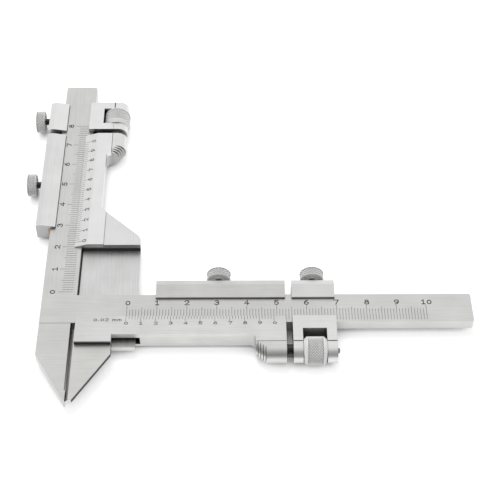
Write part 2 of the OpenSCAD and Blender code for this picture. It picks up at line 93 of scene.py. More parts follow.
def on_tool(x, y, z):
    return (Vector((x, y, z)) - ORIGIN) * MM


def on_thickness(s, y, z):
    """The frame of the thickness slider: s along its beam from the vernier's zero."""
    return on_tool(s, y - CORNER_DROP, z)


def on_height(s, y, z):
    """The frame of the height slider, which is the other one turned by a quarter."""
    return on_tool(HEIGHT_OUTER_X - y, READING + s, z)


class Side:
    """What differs between the two sliders with their fine feeds."""

    def __init__(self, word, place, nose_w, rail_start, near_seam_w):
        self.word = word
        self.place = place
        self.nose_w = nose_w
        self.rail_start = rail_start
        self.near_seam_w = near_seam_w
        self.feed_y = FEED_INSET - BEAM_W - nose_w
        self.seam_y = -BEAM_W - nose_w * (1 - SEAM_SHARE)


THICKNESS = Side("thickness", on_thickness, nose_w=14.8, rail_start=9.5, near_seam_w=0.42)
HEIGHT = Side("height", on_height, nose_w=12.8, rail_start=6.9, near_seam_w=0.12)
SIDES = (THICKNESS, HEIGHT)


# ---------------------------------------------------------------- materials


# Sockets of the mix node, which shows them by data type
MIX_SHARE = 0
MIX_VALUES = (2, 3)
MIX_COLOURS = (6, 7)
MIX_VALUE_OUT = 0
MIX_COLOUR_OUT = 2

# The range that a noise fills, and how a seed moves it
NOISE_LOW, NOISE_HIGH = 0.32, 0.68
SEED_WAY = (1, 1.7, 0.6)
CLOUD_SEED = 3

# Painted crevice shade: reach in mm, then the openness at which it is full and at which it is
# gone
CREVICE_SHADE = (4, 0.05, 0.34)
KNURL_CREVICE_SHADE = (0.34, 0.36, 0.82)
FRAME_CREVICE_SHADE = (4.5, 0.08, 0.4)
CARRIAGE_CREVICE_SHADE = (6, 0.24, 0.5)
UPRIGHT_CREVICE_SHADE = (5, 0.12, 0.45)
CREVICE_SHADE_COLOUR = (0.03, 0.028, 0.026, 1)

BUMP_H = 0.02
# How nearly a face looks along the grain where its painted shade starts and is full
END_FACING = (0.5, 0.8)


class Nodes:
    """A node tree, and short calls to add nodes to it."""

    def __init__(self, tree):
        self.tree = tree

    def node(self, kind, **values):
        made = self.tree.nodes.new(kind)
        for key, value in values.items():
            setattr(made, key, value)
        return made

    def link(self, source, target):
        self.tree.links.new(source, target)

    def spread(self, source, low, high, start=NOISE_LOW, end=NOISE_HIGH):
        """Maps a range, or else the one that a noise fills, to the values low to high."""
        ramp = self.node("ShaderNodeMapRange")
        for name, value in (
            ("From Min", start), ("From Max", end), ("To Min", low), ("To Max", high)
        ):
            ramp.inputs[name].default_value = value
        self.link(source, ramp.inputs["Value"])
        return ramp.outputs["Result"]

    def larger(self, first, second):
        either = self.node("ShaderNodeMath", operation="MAXIMUM")
        self.link(first, either.inputs[0])
        self.link(second, either.inputs[1])
        return either.outputs[0]

    def openness(self, reach, samples):
        """One on open faces, zero deep in seams, corners and under things."""
        hidden = self.node("ShaderNodeAmbientOcclusion", samples=samples)
        hidden.inputs["Distance"].default_value = reach * MM
        return hidden.outputs["AO"]

    def seen_share(self):
        """One for rays that show a background: from the camera, a gloss or through glass."""
        path = self.node("ShaderNodeLightPath")
        share = path.outputs["Is Camera Ray"]
        for name in ("Is Glossy Ray", "Is Transmission Ray"):
            share = self.larger(share, path.outputs[name])
        return share

    def mixed(self, share, plain_shader, seen_shader, target):
        mix = self.node("ShaderNodeMixShader")
        self.link(share, mix.inputs[0])
        self.link(plain_shader.outputs[0], mix.inputs[1])
        self.link(seen_shader.outputs[0], mix.inputs[2])
        self.link(mix.outputs[0], target)


class Shader(Nodes):
    def __init__(self, name):
        self.material = bpy.data.materials.new(name)
        self.material.use_nodes = True
        super().__init__(self.material.node_tree)
        self.principled = self.tree.nodes["Principled BSDF"]

    def noise(self, lengths, detail, seed):
        """Noise whose features have these lengths in mm along X, Y and Z."""
        place = self.node("ShaderNodeTexCoord")
        mapping = self.node("ShaderNodeMapping")
        mapping.inputs["Scale"].default_value = [1 / (length * MM) for length in lengths]
        mapping.inputs["Location"].default_value = [seed * way for way in SEED_WAY]
        texture = self.node("ShaderNodeTexNoise")
        texture.inputs["Scale"].default_value = 1
        texture.inputs["Detail"].default_value = detail
        self.link(place.outputs["Object"], mapping.inputs["Vector"])
        self.link(mapping.outputs["Vector"], texture.inputs["Vector"])
        return texture.outputs["Fac"]

    def blend(self, share, first, second):
        mix = self.node("ShaderNodeMix", data_type="FLOAT")
        self.link(share, mix.inputs[MIX_SHARE])
        self.link(first, mix.inputs[MIX_VALUES[0]])
        self.link(second, mix.inputs[MIX_VALUES[1]])
        return mix.outputs[MIX_VALUE_OUT]

    def grained(self, grain, cloud, tone, contrast):
        """The tone, lighter and darker with a fine grain and a wide cloud. It is the middle of
        a range from half of it to one and a half, cut off at one. So a tone above 0.67 has
        less contrast, and one above 1 is painted light: nearly white, with little grain."""
        both = self.node("ShaderNodeMath", operation="ADD")
        self.link(self.spread(grain, -contrast, contrast), both.inputs[0])
        self.link(self.spread(cloud, -contrast / 2, contrast / 2), both.inputs[1])
        share = self.spread(both.outputs[0], 0, 1, -0.5, 0.5)
        colour = self.node("ShaderNodeMix", data_type="RGBA")
        for socket, factor in zip(MIX_COLOURS, (0.5, 1.5)):
            colour.inputs[socket].default_value = [min(1, c * factor) for c in tone] + [1]
        self.link(share, colour.inputs[MIX_SHARE])
        return colour.outputs[MIX_COLOUR_OUT]

    def dirty(self, colour, crevice_shade):
        """Painted shade: darkens the colour deep in seams, corners and under things."""
        reach, full_shade_at, unshaded_at = crevice_shade
        mix = self.node("ShaderNodeMix", data_type="RGBA")
        mix.inputs[MIX_COLOURS[0]].default_value = CREVICE_SHADE_COLOUR
        self.link(self.spread(self.openness(reach, samples=6), 0, 1, full_shade_at, unshaded_at),
                  mix.inputs[MIX_SHARE])
        self.link(colour, mix.inputs[MIX_COLOURS[1]])
        return mix.outputs[MIX_COLOUR_OUT]

    def end_shade(self, colour, tone):
        """Painted shade: darkens the faces across the grain of a piece that lies along Y."""
        normal = self.node("ShaderNodeNewGeometry")
        parts = self.node("ShaderNodeSeparateXYZ")
        self.link(normal.outputs["Normal"], parts.inputs[0])
        across = self.node("ShaderNodeMath", operation="ABSOLUTE")
        self.link(parts.outputs["Y"], across.inputs[0])
        mix = self.node("ShaderNodeMix", data_type="RGBA", blend_type="MULTIPLY")
        mix.inputs[MIX_COLOURS[1]].default_value = (tone, tone, tone, 1)
        self.link(self.spread(across.outputs[0], 0, 1, *END_FACING), mix.inputs[MIX_SHARE])
        self.link(colour, mix.inputs[MIX_COLOURS[0]])
        return mix.outputs[MIX_COLOUR_OUT]

    def finish(self, grain, cloud, tone, contrast, rough, rough_spread, bump,
               metal=1, crevice_shade=CREVICE_SHADE, ends=None):
        """Colour, roughness and relief from a fine grain and a wide cloud, with painted shade.
        """
        colour = self.dirty(self.grained(grain, cloud, tone, contrast), crevice_shade)
        if ends:
            colour = self.end_shade(colour, ends)
        self.link(colour, self.principled.inputs["Base Color"])
        self.link(
            self.spread(grain, rough - rough_spread, rough + rough_spread),
            self.principled.inputs["Roughness"],
        )
        relief = self.node("ShaderNodeBump")
        relief.inputs["Strength"].default_value = bump
        relief.inputs["Distance"].default_value = BUMP_H * MM
        self.link(grain, relief.inputs["Height"])
        self.link(relief.outputs["Normal"], self.principled.inputs["Normal"])
        self.principled.inputs["Metallic"].default_value = metal
        return self.material


# Lengths of the grain of a grinding wheel along X, Y and Z, by its direction
GRAIN_LONG = 14
GRAIN_FINE = 0.22
GRAIN = {
    "x": (GRAIN_LONG, GRAIN_FINE, GRAIN_FINE),
    "y": (GRAIN_FINE, GRAIN_LONG, GRAIN_FINE),
}
GRAIN_DETAIL = 5
SPOT_DETAIL = 4
# Sizes of the wide clouds, the same along X, Y and Z
GROUND_CLOUD = (9, 9, 9)
FRAME_CLOUD = (11, 11, 11)
TURNED_CLOUD = (4, 4, 4)
CLOUD_DETAIL = 2
GROUND = {"rough": 0.42, "rough_spread": 0.07, "bump": 0.35}


def brushed(name, tone, along, seed, crevice_shade=CREVICE_SHADE, ends=None):
    """Steel ground in one direction."""
    shader = Shader(name)
    grain = shader.noise(GRAIN[along], GRAIN_DETAIL, seed)
    cloud = shader.noise(GROUND_CLOUD, CLOUD_DETAIL, seed + CLOUD_SEED)
    return shader.finish(grain, cloud, tone, contrast=0.09, crevice_shade=crevice_shade, ends=ends, **GROUND)


def frame_steel(name, tone, seed):
    """Steel of the frame: ground along the height beam above the corner, across it below."""
    shader = Shader(name)
    upright = shader.noise(GRAIN["y"], GRAIN_DETAIL, seed)
    level = shader.noise(GRAIN["x"], GRAIN_DETAIL, seed + 5)
    place = shader.node("ShaderNodeTexCoord")
    parts = shader.node("ShaderNodeSeparateXYZ")
    shader.link(place.outputs["Object"], parts.inputs[0])
    corner = on_thickness(0, 0, 0).y
    border = 0.05 * MM
    share = shader.spread(parts.outputs["Y"], 0, 1, corner - border, corner + border)
    grain = shader.blend(share, level, upright)
    cloud = shader.noise(FRAME_CLOUD, CLOUD_DETAIL, seed + CLOUD_SEED)
    return shader.finish(grain, cloud, tone, contrast=0.08, crevice_shade=FRAME_CREVICE_SHADE, **GROUND)


def mottled(name, tone, seed, size=0.5, contrast=0.12, rough=0.4, bump=0.3, metal=1,
            crevice_shade=CREVICE_SHADE):
    """Turned, cast or inked surface with no direction."""
    shader = Shader(name)
    grain = shader.noise((size, size, size), SPOT_DETAIL, seed)
    cloud = shader.noise(TURNED_CLOUD, CLOUD_DETAIL, seed + CLOUD_SEED)
    return shader.finish(grain, cloud, tone, contrast, rough, rough_spread=0.08, bump=bump,
                         metal=metal, crevice_shade=crevice_shade)


steel_frame = frame_steel("ground_frame_steel", (0.64, 0.638, 0.627), 1)
# The upright copies, for the height parts, are painted lighter than the level ones: painted
# light
steel_level = brushed("ground_steel_level", (0.66, 0.657, 0.64), "x", 11)
steel_upright_lit = brushed("ground_steel_upright_lit", (0.93, 0.928, 0.917), "y", 17,
                        crevice_shade=UPRIGHT_CREVICE_SHADE, ends=0.6)
plate_level = brushed("plate_steel_level", (0.735, 0.732, 0.715), "x", 23)
plate_upright_lit = brushed("plate_steel_upright_lit", (1.12, 1.118, 1.107), "y", 29)
carriage_level = brushed("carriage_steel_level", (0.98, 0.976, 0.954), "x", 61,
                         crevice_shade=CARRIAGE_CREVICE_SHADE)
carriage_upright_lit = brushed("carriage_steel_upright_lit", (1.12, 1.118, 1.107), "y", 67,
                           crevice_shade=CARRIAGE_CREVICE_SHADE)
blade_steel = brushed("blade_steel", (0.68, 0.68, 0.67), "y", 31)
# The knurls are nearly white and hardly metallic: painted sheen for the glints on them
nut_steel = mottled("knurled_nut_steel", (1.35, 1.346, 1.333), 37, rough=0.34, metal=0.1,
                    crevice_shade=KNURL_CREVICE_SHADE)
knob_steel = mottled("knurled_knob_steel", (1, 0.997, 0.987), 71, rough=0.34, metal=0.1,
                     crevice_shade=KNURL_CREVICE_SHADE)
thread_steel = mottled("dark_thread_steel", (0.16, 0.157, 0.154), 41, contrast=0.2)
screw_steel = mottled("dark_screw_steel", (0.2, 0.2, 0.2), 43, contrast=0.2)
bronze = mottled("gib_bronze", (0.4, 0.27, 0.19), 47, rough=0.45)
ink = mottled("scale_ink", (0.03, 0.03, 0.03), 53, size=0.2, rough=0.6, bump=0.1, metal=0)
# Painted shade: a near black for strips put in seams and gaps where there is only shade
painted_shade = mottled("painted_seam_shade", (0.02, 0.019, 0.018), 59, size=0.3, rough=0.5, bump=0.1, metal=0)

# Every other node is a screw or a nut, replaced below or seen from the back only
NODE_MATERIALS = {
    "main_frame": steel_frame,
    "thickness_slider": steel_level,
    "thickness_vernier_plate": plate_level,
    "thickness_carriage": carriage_level,
    "thickness_carriage_plate": carriage_level,
    "height_slider": steel_upright_lit,
    "height_vernier_plate": plate_upright_lit,
    "height_carriage": carriage_upright_lit,
    "height_carriage_plate": carriage_upright_lit,
    "height_blade": blade_steel,
    "thickness_gib": bronze,
    "thickness_carriage_gib": bronze,
    "height_gib": bronze,
    "height_carriage_gib": bronze,
}
EDGE_BREAK = 0.09
EDGE_BREAK_ANGLE = 35
for node_name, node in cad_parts.items():
    node.data.materials.clear()
    node.data.materials.append(NODE_MATERIALS.get(node_name, screw_steel))
    if node_name in NODE_MATERIALS and not node_name.endswith("gib"):
        edges = node.modifiers.new("broken_edges", "BEVEL")
        edges.width = EDGE_BREAK * MM
        edges.segments = 2
        edges.limit_method = "ANGLE"
        edges.angle_limit = math.radians(EDGE_BREAK_ANGLE)
        edges.use_clamp_overlap = True


# ---------------------------------------------------------------- pieces


def piece(name, verts, faces, place, body, material):
    """A closed mesh that rides on a body, from points in the frame that place() turns."""
    mesh = bpy.data.meshes.new(name)
    mesh.from_pydata([place(*v) for v in verts], [], faces)
    work = bmesh.new()
    work.from_mesh(mesh)
    bmesh.ops.recalc_face_normals(work, faces=work.faces)
    work.to_mesh(mesh)
    work.free()
    mesh.materials.append(material)
    made = bpy.data.objects.new(name, mesh)
    bpy.context.scene.collection.objects.link(made)
    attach(made, body)
    return made


def round_feed(side):
    """Turns (along, right, up) of the feed screw's axis into a slider's frame."""
    return lambda along, right, up: (along, side.feed_y + right, AXIS_Z + up)


def round_lock(at):
    """The same for the axis of a lock screw, which lies across the beam."""
    return lambda along, right, up: (at + right, along, AXIS_Z + up)


def turned(rings, count, loop=False):
    """Mesh of rings round an axis. A ring is (place on the axis, radius of the even points,
    radius of the odd points). Where the radii of a cell differ, it is folded on its groove."""
    verts, faces, radii = [], [], []
    for along, even, odd in rings:
        for i in range(count):
            angle = 2 * math.pi * i / count
            radius = odd if i % 2 else even
            radii.append(radius)
            verts.append((along, radius * math.cos(angle), radius * math.sin(angle)))
    rows = len(rings) if loop else len(rings) - 1
    for j in range(rows):
        for i in range(count):
            a, b = j * count + i, j * count + (i + 1) % count
            c, d = ((k + count) % len(verts) for k in (a, b))
            if radii[a] == radii[b] or radii[c] == radii[d]:
                faces.append((a, b, d, c))
            elif radii[a] < radii[b]:
                faces += [(a, b, d), (a, d, c)]
            else:
                faces += [(a, b, c), (b, d, c)]
    if not loop:
        faces += [tuple(range(count)), tuple(range(len(verts) - count, len(verts)))]
    return verts, faces


def knurl(start, end, radius, steps):
    """Rings of a diamond knurl: points and grooves take turns."""
    low, high = radius - KNURL_DEPTH, radius
    rings = []
    for j in range(steps + 1):
        along = start + (end - start) * j / steps
        rings.append((along, low, high) if j % 2 else (along, high, low))
    return rings


def plain(points):
    """Smooth rings from (place on the axis, radius)."""
    return [(along, radius, radius) for along, radius in points]


def thread(start, end, radius, depth, count, put):
    """Threaded rod: rows a quarter of a pitch apart, with the crest winding round."""
    verts, faces = [], []
    rows = round((end - start) / (THREAD_PITCH / 4))
    for j in range(rows + 1):
        along = start + (end - start) * j / rows
        for i in range(count):
            turn = (along / THREAD_PITCH - i / count) % 1
            r = radius - depth * (1 - abs(2 * turn - 1))
            angle = 2 * math.pi * i / count
            verts.append(put(along, r * math.cos(angle), r * math.sin(angle)))
    for j in range(rows):
        for i in range(count):
            a, b = j * count + i, j * count + (i + 1) % count
            faces.append((a, b, b + count, a + count))
    faces += [tuple(range(count)), tuple(range(len(verts) - count, len(verts)))]
    return verts, faces


KNURL_DEPTH = 0.38
# The nut's chamfer is larger than in CAD. Its end is (depth, radius) from the bore to the knurl
NUT_CHAMFER = 0.95
NUT_RIM_R = NUT_R - 0.12
NUT_GROOVE_H = 0.12
NUT_GROOVE_START_R = NUT_BORE_R + 0.5
NUT_GROOVE_END_R = 3.3
NUT_END = (
    (0, NUT_BORE_R), (0, NUT_GROOVE_START_R), (NUT_GROOVE_H, NUT_GROOVE_START_R + NUT_GROOVE_H),
    (NUT_GROOVE_H, NUT_GROOVE_END_R), (0, NUT_GROOVE_END_R + NUT_GROOVE_H),
    (0, NUT_R - NUT_CHAMFER - 0.05), (NUT_CHAMFER, NUT_RIM_R), (NUT_CHAMFER + 0.3, NUT_RIM_R),
    (NUT_CHAMFER + 0.35, NUT_R),
)
NUT_KNURL_INSET = NUT_CHAMFER + 0.4
NUT_POINTS = 58
NUT_ROWS = 11


def feed_nut(name, side, body):
    start, end = WINDOW_START + NUT_PLAY / 2, WINDOW_END - NUT_PLAY / 2
    rings = plain((start + a, r) for a, r in NUT_END)
    rings += knurl(start + NUT_KNURL_INSET, end - NUT_KNURL_INSET, NUT_R, NUT_ROWS)
    rings += plain((end - a, r) for a, r in reversed(NUT_END))
    verts, faces = turned(rings, NUT_POINTS, loop=True)
    put = round_feed(side)
    verts = [put(*v) for v in verts]
    made = piece(name, verts, faces, side.place, body, nut_steel)
    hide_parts(name.replace("_knurled", ""))


# Faces of a lock screw's head: (depth, radius), outwards on the ringed inner face towards the
# slider, and inwards on the dimpled outer face
KNOB_INNER_FACE = (
    (0, STUD_R - 0.1), (0, 1.75), (0.28, 1.9), (0.28, 2.55), (0.05, 2.7), (0.05, 3.05),
    (0.22, 3.15), (0.22, 3.4), (0, 3.5), (0, KNOB_R - KNOB_CHAMFER), (KNOB_CHAMFER, KNOB_R),
)
KNOB_OUTER_FACE = ((KNOB_CHAMFER, KNOB_R), (0, KNOB_R - KNOB_CHAMFER), (0, 1.1), (0.35, 0.5))
KNOB_KNURL_INSET = KNOB_CHAMFER + 0.06
KNOB_POINTS = 44
KNOB_ROWS = 5
STUD_THREAD_H = 0.2
STUD_POINTS = 24


def lock_screw(node_name, side, at, body):
    """Knurled head with a ringed inner face, and its threaded stud."""
    base = RAIL_W + NECK_L
    tip = base + KNOB_L
    rings = plain((base + a, r) for a, r in KNOB_INNER_FACE)
    rings += knurl(base + KNOB_KNURL_INSET, tip - KNOB_KNURL_INSET, KNOB_R, KNOB_ROWS)
    rings += plain((tip - a, r) for a, r in KNOB_OUTER_FACE)
    verts, faces = turned(rings, KNOB_POINTS)
    put = round_lock(at)
    verts = [put(*v) for v in verts]
    head = piece(node_name + "_head", verts, faces, side.place, body, knob_steel)
    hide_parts(node_name)
    verts, faces = thread(GIB_SEAT, base + 0.1, STUD_R, STUD_THREAD_H, STUD_POINTS, put)
    piece(node_name + "_stud", verts, faces, side.place, body, thread_steel)


FEED_THREAD_H = 0.25
FEED_POINTS = 32
PILOT_CHAMFER = 0.25
PILOT_ROOTED = 0.3


def feed_screw(node_name, side, body):
    """Threaded rod with its plain pilot."""
    thread_end = WINDOW_END - FEED_SPARE
    put = round_feed(side)
    verts, faces = thread(FEED_ROOT, thread_end, FEED_R, FEED_THREAD_H, FEED_POINTS, put)
    rod = piece(node_name + "_thread", verts, faces, side.place, body, thread_steel)
    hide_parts(node_name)
    tip = CARRIAGE_END + PILOT_OUT
    verts, faces = turned(plain((
        (thread_end - PILOT_ROOTED, PILOT_R), (tip - PILOT_CHAMFER, PILOT_R),
        (tip, PILOT_R - PILOT_CHAMFER),
    )), FEED_POINTS)
    verts = [put(*v) for v in verts]
    piece(node_name + "_pilot", verts, faces, side.place, body, screw_steel)


for side in SIDES:
    feed_nut(side.word + "_feed_nut_knurled", side, side.word + "_nut")
    feed_screw(side.word + "_feed_screw", side, side.word + "_slider_body")
    lock_screw(side.word + "_lock_screw", side,
               side.rail_start + LOCK_SHARE * (SLIDER_END - side.rail_start),
               side.word + "_lock")
    lock_screw(side.word + "_clamp_screw", side, (CARRIAGE_START + CARRIAGE_END) / 2,
               side.word + "_clamp")


# ---------------------------------------------------------------- painted shade in seams and gaps


def box_sides(a, b):
    """Sides of a box from the four corners that start at a to the four that start at b."""
    return [(a + i, a + (i + 1) % 4, b + (i + 1) % 4, b + i) for i in range(4)]


SHADE_LINE_TAPER = 0.02


def oil_line(name, bars, side):
    """Thin dark bars of painted shade along a slider: (from, to, y, z, width, height) each."""
    verts, faces = [], []
    for start, end, y, z, width, height in bars:
        base, half = len(verts), width / 2
        for s in (start, end):
            verts += [(s, y - half, z), (s, y + half, z), (s, y + half - SHADE_LINE_TAPER, z + height),
                      (s, y - half + SHADE_LINE_TAPER, z + height)]
        faces += [tuple(range(base, base + 4)), tuple(range(base + 4, base + 8))]
        faces += box_sides(base, base + 4)
    body = side.word + ("_carriage_body" if "carriage" in name else "_slider_body")
    piece(name, verts, faces, side.place, body, painted_shade)


# Painted shade under the rail's lip, and in the seam of the nose and the front plate, which
# stands proud
LIP_SHADE_W = 0.2
LIP_SHADE_Y = -RAIL_LAP - LIP_SHADE_W / 2 + 0.04
LIP_SHADE = (LIP_SHADE_Y, 0.02, LIP_SHADE_W, 0.06)
SEAM_SHADE_SHIFT = 0.04
SEAM_SHADE_Z = 1.0
SEAM_SHADE_H = FRONT_H - SEAM_SHADE_Z + 0.004
SEAM_SHADE_INSET = 0.05
SLIDER_SEAM_SHADE_W = 0.22
FAR_SEAM_SHADE_W = 0.42


def seam_bar(side, start, end, width):
    return (start, end, side.seam_y - SEAM_SHADE_SHIFT, SEAM_SHADE_Z, width, SEAM_SHADE_H)


for side in SIDES:
    oil_line(side.word + "_slider_shade", [
        (side.rail_start, SLIDER_END, *LIP_SHADE),
        seam_bar(side, THUMB_START + 0.3, SLIDER_END - SEAM_SHADE_INSET, SLIDER_SEAM_SHADE_W),
    ], side)
    oil_line(side.word + "_carriage_shade", [
        (CARRIAGE_START, CARRIAGE_END, *LIP_SHADE),
        seam_bar(side, CARRIAGE_START + SEAM_SHADE_INSET, WINDOW_START - SEAM_SHADE_INSET,
                 side.near_seam_w),
        seam_bar(side, WINDOW_END + SEAM_SHADE_INSET, CARRIAGE_END - SEAM_SHADE_INSET, FAR_SEAM_SHADE_W),
    ], side)

# Painted shade at the foot of each grip step, from the front of the nose, at 90 degrees, past
# its outer side to its back
GRIP_SHADE_W = 0.2
GRIP_SHADE_FROM = 95
GRIP_SHADE_SWEEP = 170
GRIP_SHADE_TURNS = 24
GRIP_SHADE_R = (NOSE_R - 0.03, NOSE_R + 0.012)
GRIP_SHADE_GAP = 0.01


def grip_oil(name, side):
    """Painted shade at the foot of each grip step of the thumb rest, bent round the nose."""
    verts, faces = [], []
    inner, outer = GRIP_SHADE_R
    for i in range(1, GRIP_STEPS + 1):
        base, step = len(verts), THUMB_START + i * GRIP_STEP_L
        start, end = step - GRIP_SHADE_W, step - GRIP_SHADE_GAP
        y = NOSE_R - BEAM_W - side.nose_w + (GRIP_STEPS - i + 1) * GRIP_STEP_W
        for j in range(GRIP_SHADE_TURNS + 1):
            angle = math.radians(GRIP_SHADE_FROM + GRIP_SHADE_SWEEP * j / GRIP_SHADE_TURNS)
            for s, r in ((start, inner), (start, outer), (end, outer), (end, inner)):
                verts.append((s, y + r * math.cos(angle), AXIS_Z + r * math.sin(angle)))
        for j in range(GRIP_SHADE_TURNS):
            faces += box_sides(base + 4 * j, base + 4 * (j + 1))
        last = base + 4 * GRIP_SHADE_TURNS
        faces += [tuple(range(base, base + 4)), tuple(range(last, last + 4))]
    piece(name, verts, faces, side.place, side.word + "_slider_body", painted_shade)


grip_oil("thickness_grip_shade", THICKNESS)
grip_oil("height_grip_shade", HEIGHT)

# Painted shade at the foot of the step above the movable jaw
oil_line("thickness_step_shade", [
    (-16.4, -4.5, THICKNESS.seam_y - 0.03, 0.04, 0.12, 1.05)], THICKNESS)
# Painted shade at the foot of the wing, on the blade
oil_line("height_wing_shade", [(-2.06, -1.9, -BEAM_W - 10.25, BLADE_Z + 0.04, 20.3, 1.3)], HEIGHT)
# Painted shade along the reading edge of the height vernier
oil_line("height_reading_shade", [
    (2.5, SLIDER_END - 3, -BEAM_W + PLATE_LAP + 0.03, -0.01, 0.1, 0.05)], HEIGHT)
# Painted shade along the blade's edge beside the beam
oil_line("height_blade_edge_shade", [(-43.6, -2.0, -BEAM_W - 0.3, BLADE_Z - 0.01, 0.5, 0.03)], HEIGHT)

# Points of the movable jaw's outer side, each with the way out of the jaw
JAW_EDGE = (((-4.43, -20.3), (1, 0)), ((-4.43, -24.4), (1, -0.29)),
            ((-15.73, -42.15), (0.844, -0.537)))
JAW_EDGE_Z = (-0.03, -1.3)
JAW_EDGE_W = 0.05


def jaw_edge():
    """Painted shade on the movable jaw's outer side: a thin dark strip along it."""
    verts, faces = [], []
    top, bottom = JAW_EDGE_Z
    for (x, y), (out_x, out_y) in JAW_EDGE:
        for way, z in ((-1, top), (-1, bottom), (1, bottom), (1, top)):
            verts.append((x + way * out_x * JAW_EDGE_W, y + way * out_y * JAW_EDGE_W, z))
    last = 4 * (len(JAW_EDGE) - 1)
    for i in range(0, last, 4):
        faces += box_sides(i, i + 4)
    faces += [tuple(range(4)), tuple(range(last, last + 4))]
    piece("thickness_jaw_edge_shade", verts, faces, on_thickness, "thickness_slider_body", painted_shade)


jaw_edge()


# ---------------------------------------------------------------- graduations


INK_H = 0.012
INK_SUNK = 0.03
LINE_W = 0.12
MITRE_LIMIT = 0.55


class Marks:
    """Flat prisms of ink on a face whose level is given by level(y)."""

    def __init__(self, level):
        self.level = level
        self.verts, self.faces = [], []

    def stroke(self, points, width, ring=False):
        """A bent line: one mesh with mitred corners."""
        count = len(points)
        left, right = [], []
        for i, (x, y) in enumerate(points):
            before = points[i - 1] if i or ring else None
            after = points[(i + 1) % count] if i < count - 1 or ring else None
            steps = []
            if before is not None:
                steps.append(Vector((x - before[0], y - before[1])).normalized())
            if after is not None:
                steps.append(Vector((after[0] - x, after[1] - y)).normalized())
            way = sum(steps, Vector((0, 0))).normalized()
            side = Vector((-way.y, way.x)) * (width / 2)
            if len(steps) == 2:
                side /= max(MITRE_LIMIT, way.dot(steps[0]))
            elif before is None:
                x, y = x - way.x * width / 2, y - way.y * width / 2
            else:
                x, y = x + way.x * width / 2, y + way.y * width / 2
            left.append((x + side.x, y + side.y))
            right.append((x - side.x, y - side.y))
        start = len(self.verts)
        for lift in (-INK_SUNK, INK_H):
            for a, b in zip(left, right):
                self.verts.append((*a, self.level(a[1]) + lift))
                self.verts.append((*b, self.level(b[1]) + lift))
        top = 2 * count
        spans = count if ring else count - 1
        for i in range(spans):
            a, b = start + 2 * i, start + 2 * ((i + 1) % count)
            self.faces += [
                (a, b, b + 1, a + 1),
                (a + top, a + 1 + top, b + 1 + top, b + top),
                (a, a + top, b + top, b),
                (a + 1, b + 1, b + 1 + top, a + 1 + top),
            ]
        if not ring:
            last = start + 2 * (count - 1)
            self.faces += [
                (start, start + 1, start + 1 + top, start + top),
                (last + 1, last, last + top, last + 1 + top),
            ]

    def line(self, x0, y0, x1, y1):
        self.stroke([(x0, y0), (x1, y1)], LINE_W)

    def write(self, text, place, height, width, gap, stroke):
        """Strokes of a text. place() turns (right, up), from the text's middle and base."""
        glyph_w = [SPACING.get(c, 1) * width for c in text]
        total = sum(glyph_w) + gap * (len(text) - 1)
        at = -total / 2
        for c, w in zip(text, glyph_w):
            for points, ring in GLYPHS.get(c, []):
                points = [place(at + x * width, y * height) for x, y in points]
                self.stroke(points, stroke, ring)
            at += w + gap

    def build(self, name, place, body):
        piece(name, self.verts, self.faces, place, body, ink)


def arc(x, y, rx, ry, start, end, steps=10):
    points = []
    for i in range(steps + 1):
        angle = math.radians(start + (end - start) * i / steps)
        points.append((x + rx * math.cos(angle), y + ry * math.sin(angle)))
    return points


def oval(x, y, rx, ry):
    return arc(x, y, rx, ry, 0, 360, 16)[:-1]


# Widths other than one, and the strokes of each character in a cell of one by one: the points
# of a line and whether it closes
SPACING = {".": 0.35, " ": 0.5, "m": 1.15}
GLYPHS = {
    "0": [(oval(0.5, 0.46, 0.4, 0.44), True)],
    "1": [([(0.2, 0.78), (0.52, 1), (0.52, 0)], False), ([(0.2, 0), (0.84, 0)], False)],
    "2": [(arc(0.48, 0.7, 0.4, 0.3, 165, -35) + [(0.06, 0), (0.94, 0)], False)],
    "3": [(arc(0.47, 0.76, 0.36, 0.24, 160, -90), False),
          (arc(0.47, 0.27, 0.42, 0.27, 90, -160), False)],
    "4": [([(0.68, 0), (0.68, 1), (0.06, 0.3), (0.96, 0.3)], False)],
    "5": [([(0.86, 1), (0.2, 1), (0.14, 0.54)], False),
          (arc(0.46, 0.32, 0.42, 0.32, 140, -155), False)],
    "6": [(oval(0.5, 0.3, 0.4, 0.3), True), (arc(0.84, 0.32, 0.74, 0.68, 95, 180), False)],
    "7": [([(0.06, 1), (0.94, 1), (0.4, 0)], False)],
    "8": [(oval(0.5, 0.77, 0.33, 0.23), True), (oval(0.5, 0.27, 0.42, 0.27), True)],
    "9": [(oval(0.5, 0.7, 0.4, 0.3), True), (arc(0.16, 0.68, 0.74, 0.68, -85, 0), False)],
    ".": [([(0.1, 0), (0.1, 0.12)], False)],
    "m": [([(0.04, 0), (0.04, 0.66)], False),
          (arc(0.28, 0.42, 0.24, 0.24, 180, 0, 6) + [(0.52, 0)], False),
          (arc(0.76, 0.42, 0.24, 0.24, 180, 0, 6) + [(1, 0)], False)],
}


def frame_level(y):
    """Level of the frame's face."""
    return 0


def plate_level_at(y):
    """Level of a vernier plate in a slider's frame: the bevel, then the flat."""
    run = EDGE_Y - y
    return PLATE_EDGE_Z + (FRONT_H - PLATE_EDGE_Z) * min(1, max(0, run / PLATE_BEVEL_W))


def reach(i, reaches):
    """How far the line of a millimetre reaches: one of (each, every fifth, every tenth)."""
    return reaches[2 if i % 10 == 0 else 1 if i % 5 == 0 else 0]


